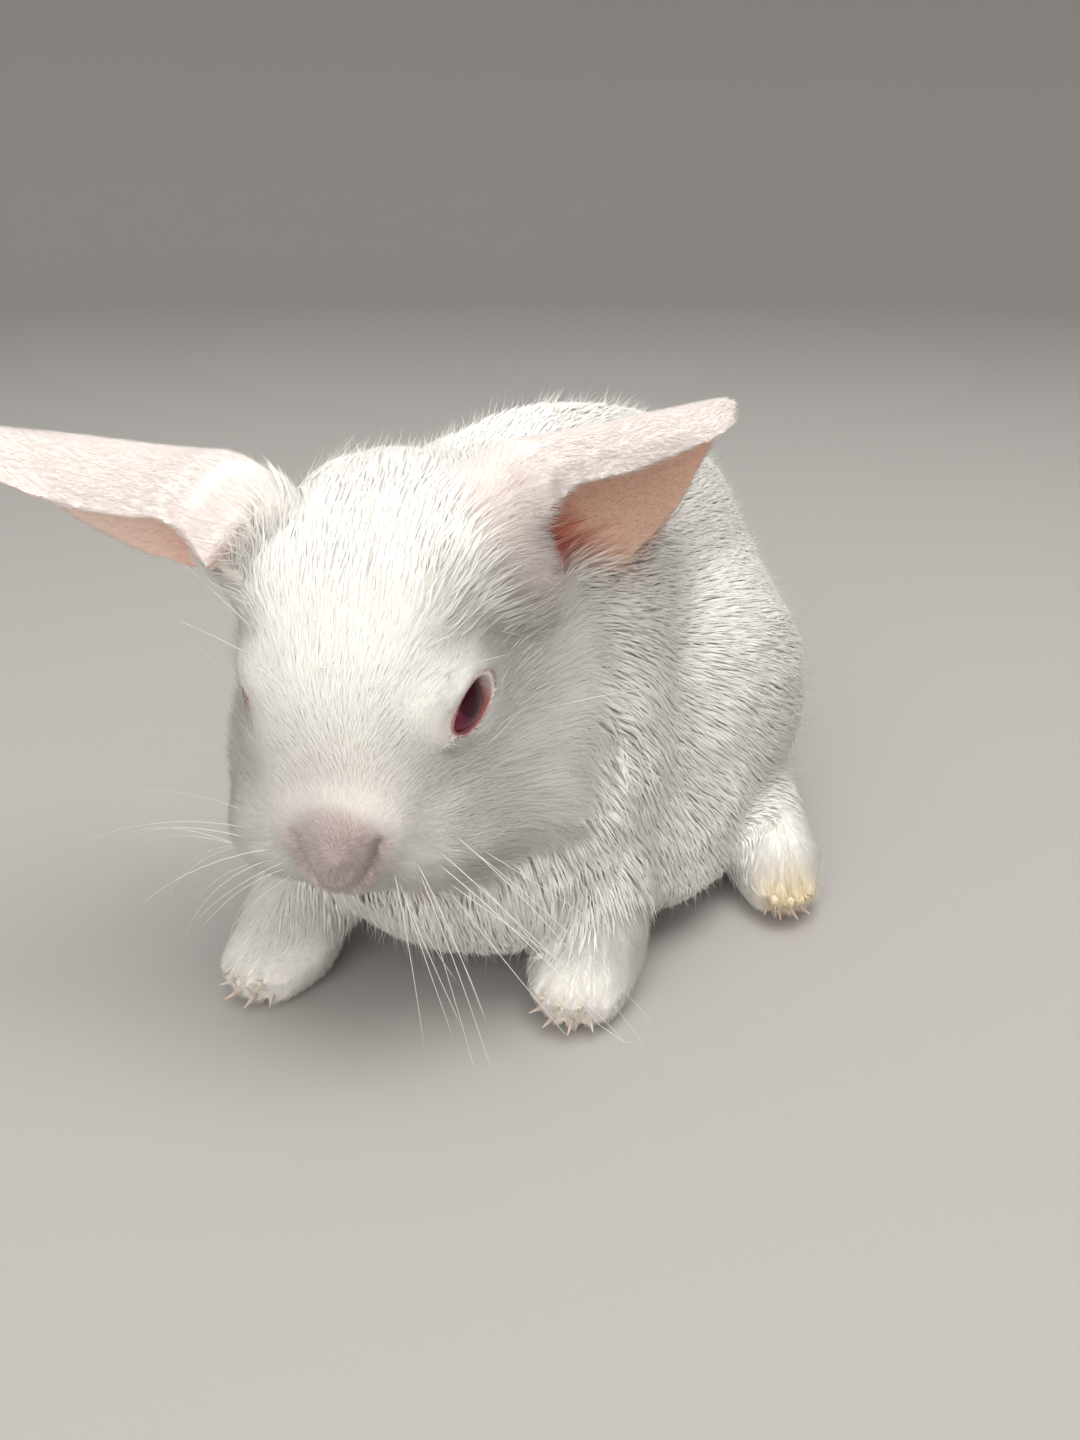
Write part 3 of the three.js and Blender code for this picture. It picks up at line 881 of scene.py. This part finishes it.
def grow(hide, name, density, length, width, lift):
    """One kind of hair over part of the skin, in pieces. All but the name are arrays at the vertices."""
    kind = COATS[name]
    rings = kind["rings"]
    count = int(kind["count"] * (1.0))
    picks, shares = hide.roots(count, density * ease(hide.room, *ROOM_TO_GROW))
    path, ups, wide = lay_hairs(hide, picks, shares, (length, width, lift), rings, kind["stray"])
    root, normal = path[:, 0].copy(), ups[:, 0]
    path = gathered(path, normal, kind["lock"])
    path[..., 2] = np.maximum(path[..., 2], FLOOR_GAP)
    path[:, 0] -= normal * FLOOR_GAP
    widths = wide[:, None] * np.linspace(0.8, 1.0, rings)[None, :]
    colours = coat_colours(hide, picks, shares, root, normal)
    uv = np.einsum("ij,ijk->ik", shares, hide.unwrap[picks])
    for k, some in enumerate(np.array_split(np.arange(count), kind["pieces"])):
        mesh = tufts_mesh(
            f"{name}_{k + 1}", path[some, :rings], path[some, rings], ups[some], widths[some], uv[some],
            colours[some], soft=kind["soft"],
        )
        coat = new_object(f"{name}_{k + 1}", mesh)
        coat.data.materials.append(coat_finish())
        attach(coat, "root")


# ---- finishes

def finish(name, roughness, specular=0.5, **sockets):
    """A new material and its shader node."""
    material = bpy.data.materials.new(name)
    material.use_nodes = True
    shader = material.node_tree.nodes["Principled BSDF"]
    shader.inputs["Roughness"].default_value = roughness
    shader.inputs["Specular IOR Level"].default_value = specular
    for socket, value in sockets.items():
        shader.inputs[socket.replace("_", " ")].default_value = value
    return material, material.node_tree, shader


def node(tree, kind, **settings):
    made = tree.nodes.new(kind)
    for name, value in settings.items():
        if name in made.inputs:
            made.inputs[name].default_value = value
        else:
            setattr(made, name, value)
    return made


def join(tree, source, output, target, socket):
    tree.links.new(source.outputs[output], target.inputs[socket])


def coat_finish():
    if "soft_coat" in bpy.data.materials:
        return bpy.data.materials["soft_coat"]
    material, tree, shader = finish("soft_coat", 0.55, 0.35, Sheen_Weight=0.12, Sheen_Roughness=0.5)
    tint = node(tree, "ShaderNodeAttribute", attribute_name="tint")
    join(tree, tint, "Color", shader, "Base Color")
    return material


def skin_finish():
    material, tree, shader = finish("skin_under_coat", 0.6, 0.35, Sheen_Weight=0.2, Sheen_Roughness=0.5)
    tint = node(tree, "ShaderNodeAttribute", attribute_name="tint")
    place = node(tree, "ShaderNodeTexCoord")
    grain = node(tree, "ShaderNodeTexNoise", Scale=900.0, Detail=4.0)
    join(tree, place, "Object", grain, "Vector")
    ramp = node(tree, "ShaderNodeMapRange")
    ramp.inputs["To Min"].default_value = 0.86
    ramp.inputs["To Max"].default_value = 1.08
    join(tree, grain, "Fac", ramp, "Value")
    mix = node(tree, "ShaderNodeMix", data_type="RGBA", blend_type="MULTIPLY")
    mix.inputs["Factor"].default_value = 1.0
    join(tree, tint, "Color", mix, "A")
    join(tree, ramp, "Result", mix, "B")
    join(tree, mix, "Result", shader, "Base Color")
    bump = node(tree, "ShaderNodeBump", Strength=0.35, Distance=0.0003)
    join(tree, grain, "Fac", bump, "Height")
    join(tree, bump, "Normal", shader, "Normal")
    return material


def eye_finish(side):
    material, tree, shader = finish("ruby_eye_" + side, 0.07, 0.5, IOR=1.25)
    place = node(tree, "ShaderNodeTexCoord")
    shift = node(tree, "ShaderNodeVectorMath", operation="SUBTRACT")
    shift.inputs[1].default_value = EYE_AT[side]
    join(tree, place, "Object", shift, 0)
    out = node(tree, "ShaderNodeVectorMath", operation="NORMALIZE")
    join(tree, shift, "Vector", out, 0)
    dot = node(tree, "ShaderNodeVectorMath", operation="DOT_PRODUCT")
    dot.inputs[1].default_value = on_side(GAZE, side)
    join(tree, out, "Vector", dot, 0)
    fibres = node(tree, "ShaderNodeTexNoise", Scale=9.0, Detail=6.0, Roughness=0.7)
    join(tree, out, "Vector", fibres, "Vector")
    wander = node(tree, "ShaderNodeMath", operation="MULTIPLY_ADD")
    wander.inputs[1].default_value = 0.03
    join(tree, fibres, "Fac", wander, 0)
    join(tree, dot, "Value", wander, 2)
    ramp = node(tree, "ShaderNodeValToRGB")
    stops = [
        (0.35, (0.36, 0.09, 0.09)), (0.50, (0.22, 0.03, 0.045)), (0.60, (0.12, 0.012, 0.03)),
        (0.70, (0.16, 0.022, 0.052)), (0.87, (0.13, 0.016, 0.04)), (0.905, (0.05, 0.004, 0.014)),
        (1.0, (0.038, 0.003, 0.011)),
    ]
    while len(ramp.color_ramp.elements) < len(stops):
        ramp.color_ramp.elements.new(0.5)
    for element, (at, colour) in zip(ramp.color_ramp.elements, stops):
        element.position = at
        element.color = (*colour, 1)
    join(tree, wander, "Value", ramp, "Fac")
    join(tree, ramp, "Color", shader, "Base Color")
    return material


def horn_finish():
    if "claw_horn" in bpy.data.materials:
        return bpy.data.materials["claw_horn"]
    material, tree, shader = finish("claw_horn", 0.35, 0.5)
    place = node(tree, "ShaderNodeTexCoord")
    grain = node(tree, "ShaderNodeTexNoise", Scale=400.0, Detail=3.0)
    join(tree, place, "Object", grain, "Vector")
    ramp = node(tree, "ShaderNodeValToRGB")
    ramp.color_ramp.elements[0].color = (0.62, 0.46, 0.40, 1)
    ramp.color_ramp.elements[1].color = (0.82, 0.72, 0.64, 1)
    join(tree, grain, "Fac", ramp, "Fac")
    join(tree, ramp, "Color", shader, "Base Color")
    return material


def floor_finish():
    material, _, shader = finish("pale_floor", 0.6, 0.3)
    shader.inputs["Base Color"].default_value = (0.40, 0.385, 0.37, 1)
    return material


# ---- eyes, claws and whiskers

def eyeball(side):
    """A ball with the low dome of the cornea over its iris."""
    bm = bmesh.new()
    bmesh.ops.create_uvsphere(bm, u_segments=64, v_segments=40, radius=EYE_RADIUS)
    for vertex in bm.verts:
        share = float(ease(vertex.co.z / EYE_RADIUS, 0.62, 0.86))
        vertex.co += vertex.co.normalized() * CORNEA_RISE * share
    out = Vector(on_side(GAZE, side))
    turn = out.to_track_quat("Z", "Y").to_matrix().to_4x4()
    bmesh.ops.transform(bm, matrix=Matrix.Translation(EYE_AT[side]) @ turn, verts=bm.verts)
    smooth(bm)
    ball = new_object("eyeball_" + side, mesh_from(bm, "eyeball"))
    ball.data.materials.append(eye_finish(side))
    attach(ball, "root")
    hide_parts("eye_" + side)


# Whiskers stand in rows and columns and have their ways in space. Brow hairs are in the head's own frame.
WHISKER_WAY = {"left": (0.62, -0.10, -0.62), "right": (-0.95, -0.02, -0.36)}
WHISKERS = [(row, column) for row in range(4) for column in range(4)]
BROW_HAIRS = [
    ((15.0, -10.0, 16.5), (0.55, 0.35, 0.8), 20), ((13.5, -6.5, 17.5), (0.35, 0.6, 0.75), 24),
    ((16.0, -13.5, 15.0), (0.8, 0.1, 0.6), 17), ((25.0, -10.0, -4.0), (0.9, 0.5, 0.1), 26),
]


def whisker_roots(side):
    """The roots of a side's whiskers and brow hairs, with their ways, lengths and shares of the bend."""
    hairs = []
    for row, column in WHISKERS:
        root = np.array([9 + 2.6 * column, -37.5 + 2.7 * column, -8.5 - 2.6 * row])
        root = root * (SIDES[side], 1, 1)
        spread = on_side((0.25 * column - 0.3, 0.5 * column - 0.8, 0.9 - 0.6 * row), side)
        way = unit(np.array(WHISKER_WAY[side]) + 0.38 * spread)
        hairs.append((from_head(root), way, 26 + 7.5 * column - 2 * abs(row - 1), 1.0))
    for root, way, length in BROW_HAIRS:
        root = from_head(np.array(root) * (SIDES[side], 1, 1))
        hairs.append((root, on_side(way, side), length, 0.4))
    return hairs


def whiskers(hide):
    """Long stiff hairs that start in the skin, run out and bend down and back."""
    levels = 7
    share = np.linspace(0, 1, levels + 1)
    for side in SIDES:
        roots, way, length, limp = (np.array(column) for column in zip(*whisker_roots(side)))
        count = len(roots)
        spots = hide.nearest(roots)
        length = length * MM * rng.uniform(0.85, 1.1, count)
        way = unit(way + rng.normal(0, 0.06, way.shape))
        bend = (np.array([0, 0.16, -0.34]) + rng.normal(0, 0.08, way.shape)) * limp[:, None]
        run = way[:, None] * share[None, :, None] + bend[:, None] * (share ** 2)[None, :, None]
        path = hide.points[spots][:, None] + run * length[:, None, None]
        path[..., 2] = np.maximum(path[..., 2], 1.0 * MM)
        width = 0.2 * MM * (1 - 0.7 * share[:-1]) * np.ones((count, 1))
        colours = np.tile((0.93, 0.90, 0.86), (count, 1))
        uv = np.array([hide.spot_on_unwrap(spot) for spot in spots])
        mesh = tufts_mesh(
            "whiskers_" + side, path[:, :levels], path[:, levels], hide.normals[spots][:, None], width,
            uv, colours, 1.0,
        )
        hairs = new_object("whiskers_" + side, mesh)
        hairs.data.materials.append(coat_finish())
        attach(hairs, "root")


def claw(root, ahead):
    """One claw: a curved cone of horn that leaves its toe forwards and down."""
    bm = bmesh.new()
    bmesh.ops.create_cone(
        bm, cap_ends=True, segments=12, radius1=0.8 * MM, radius2=0.12 * MM, depth=CLAW_LENGTH,
        matrix=Matrix.Translation((0, 0, CLAW_LENGTH / 2)),
    )
    long = [edge for edge in bm.edges if abs(edge.verts[0].co.z - edge.verts[1].co.z) > MM]
    bmesh.ops.subdivide_edges(bm, edges=long, cuts=5, use_grid_fill=True)
    for vertex in bm.verts:
        out = vertex.co.z / CLAW_LENGTH
        vertex.co.x *= 0.75
        vertex.co.y = vertex.co.y * (1.25 - 0.25 * out) + 0.9 * MM * out * out
    turn = Vector((*ahead[:2], -0.28)).to_track_quat("Z", "Y").to_matrix().to_4x4()
    bmesh.ops.transform(bm, matrix=Matrix.Translation(root) @ turn, verts=bm.verts)
    for vertex in bm.verts:
        vertex.co.z = max(vertex.co.z, 0.15 * MM)
    bmesh.ops.recalc_face_normals(bm, faces=bm.faces)
    return mesh_from(bm, "claw")


def claws(name):
    """The four claws of a foot, at the tips of its fan of toes."""
    heap = bmesh.new()
    for root, ahead in toe_tips(name, 0.3):
        heap.from_mesh(claw(root, ahead))
    smooth(heap)
    horn = new_object("claws_" + name, mesh_from(heap, "claws_" + name))
    horn.data.materials.append(horn_finish())
    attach(horn, "root")


# ---- building

def grow_face(hide, from_nose, cheek, short):
    part = hide.part
    creases = crease_shares(in_head(hide.points))[0]
    bare = np.maximum(hide.lids, ease(creases, 0.45, 0.9) * part["head"])
    length = 1.7 + 1.8 * ease(from_nose, 8, 16) + 2.6 * ease(from_nose, 16, 34)
    length = (length + 2.6 * cheek) * (0.3 + 0.7 * short)
    width = 0.15 + 0.12 * ease(from_nose, 8, 20)
    closer = 1 + 2.0 * ease(from_nose, 12, 8) + 0.8 * (1 - short)
    grow(hide, "face_coat", part["head"] * (1 - bare) * closer, length, width, 0.95 + 0.9 * cheek)


def grow_body(hide, from_nose, cheek, short):
    part, ones = hide.part, np.ones(len(hide.points))
    torso = torso_of(part) + part["tail"]
    length = 9 - 2.5 * ease(hide.points[:, 2] / MM, 30, 8) + 1.0 * part["tail"]
    nape = part["head"] * ease(from_nose, 36, 46) * short
    grow(hide, "body_coat", torso + 0.8 * nape, length, 0.5 * ones, 0.95 * ones)
    loose = (torso + part["head"] * (ease(from_nose, 24, 34) + 3 * cheek)) * short
    grow(hide, "guard_hair", loose, 1.25 * length, 0.15 * ones, 1.9 * ones)


def grow_legs(hide):
    ones = np.ones(len(hide.points))
    legs = sum(hide.part[name] for name in FEET)
    length = 2.4 + 3.6 * ease(hide.points[:, 2] / MM, 7, 20)
    grow(hide, "leg_coat", legs, length, 0.28 * ones, 0.95 * ones)


def grow_ears(hide):
    ears = hide.part["ear_left"] + hide.part["ear_right"]
    bulb = on_bulb(hide.points)
    length = 2.8 + 3.0 * near_ear_root(hide.points) * (1 - bulb) + 1.2 * bulb
    length = length * (1 - 0.5 * hide.inside)
    width = 0.19 * np.ones(len(hide.points))
    grow(hide, "ear_coat", ears * (1 - 0.75 * hide.inside), length, width, 0.9 + 1.4 * bulb)


def build():
    skin = shape_skin()
    hide = Hide(skin)
    paint(skin.data, markings_and_painted_light(hide.points, hide.normals, hide.part, WARM_SKIN))
    skin.data.materials.append(skin_finish())
    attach(skin, "root")
    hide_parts(*FLESH)
    for side in EYE_AT:
        eyeball(side)
    head = in_head(hide.points)
    from_nose = np.linalg.norm(head - NOSE, axis=1)
    cheek = ease(head[:, 2], 9, -8) * ease(from_nose, 15, 30)
    short = ease(eye_distance(hide.points), 8, 15)  # 0 at the eyes, 1 away from them
    grow_face(hide, from_nose, cheek, short)
    grow_body(hide, from_nose, cheek, short)
    grow_legs(hide)
    grow_ears(hide)
    whiskers(hide)
    for name in FEET:
        claws(name)


def light(name, at, aim, size, power, colour=(1, 1, 1)):
    lamp = bpy.data.lights.new(name, "AREA")
    lamp.shape = "DISK"
    lamp.size = size
    lamp.energy = power
    lamp.color = colour
    thing = new_object(name, lamp)
    thing.location = at
    thing.rotation_euler = (Vector(aim) - Vector(at)).to_track_quat("-Z", "Y").to_euler()


def lay_floor():
    """A round floor that rises at its edge into a wall."""
    profile = [(0.0, 0.0), (1.2, 0.0), (1.9, 0.0)]
    for turn in np.radians(range(10, 91, 10)):
        profile.append((1.9 + 0.9 * math.sin(turn), 0.9 - 0.9 * math.cos(turn)))
    profile.append((2.8, 1.7))
    bm = bmesh.new()
    line = [bm.verts.new((run, 0, height)) for run, height in profile]
    edges = [bm.edges.new(pair) for pair in zip(line, line[1:])]
    turned(bm, line + edges, 1e-5)
    bmesh.ops.recalc_face_normals(bm, faces=bm.faces)
    smooth(bm)
    floor = new_object("floor", mesh_from(bm, "floor"))
    floor.data.materials.append(floor_finish())


def set_view():
    view = bpy.data.cameras.new("view")
    view.sensor_fit = "VERTICAL"
    view.sensor_height = 36
    view.lens = 27.075
    view.clip_start = 0.01
    camera = new_object("view", view)
    camera.location = HEAD_AT + CAMERA_FROM_HEAD
    camera.rotation_euler = [math.radians(v) for v in (65, 0, 28)]
    bpy.context.scene.camera = camera
    bpy.context.scene.view_settings.view_transform = "Standard"


def studio():
    lay_floor()
    world = bpy.data.worlds.new("studio")
    bpy.context.scene.world = world
    world.use_nodes = True
    background = world.node_tree.nodes["Background"]
    background.inputs["Color"].default_value = (0.95, 0.94, 0.92, 1)
    background.inputs["Strength"].default_value = 0.80
    light("key", (0.22, -0.05, 1.1), (0, -0.02, 0.05), 0.8, 9.0, (1.0, 0.98, 0.94))
    light("fill", (0.2, -1.1, 0.55), (0, -0.05, 0.05), 1.0, 7.0, (1.0, 0.975, 0.94))
    set_view()


studio()
build()
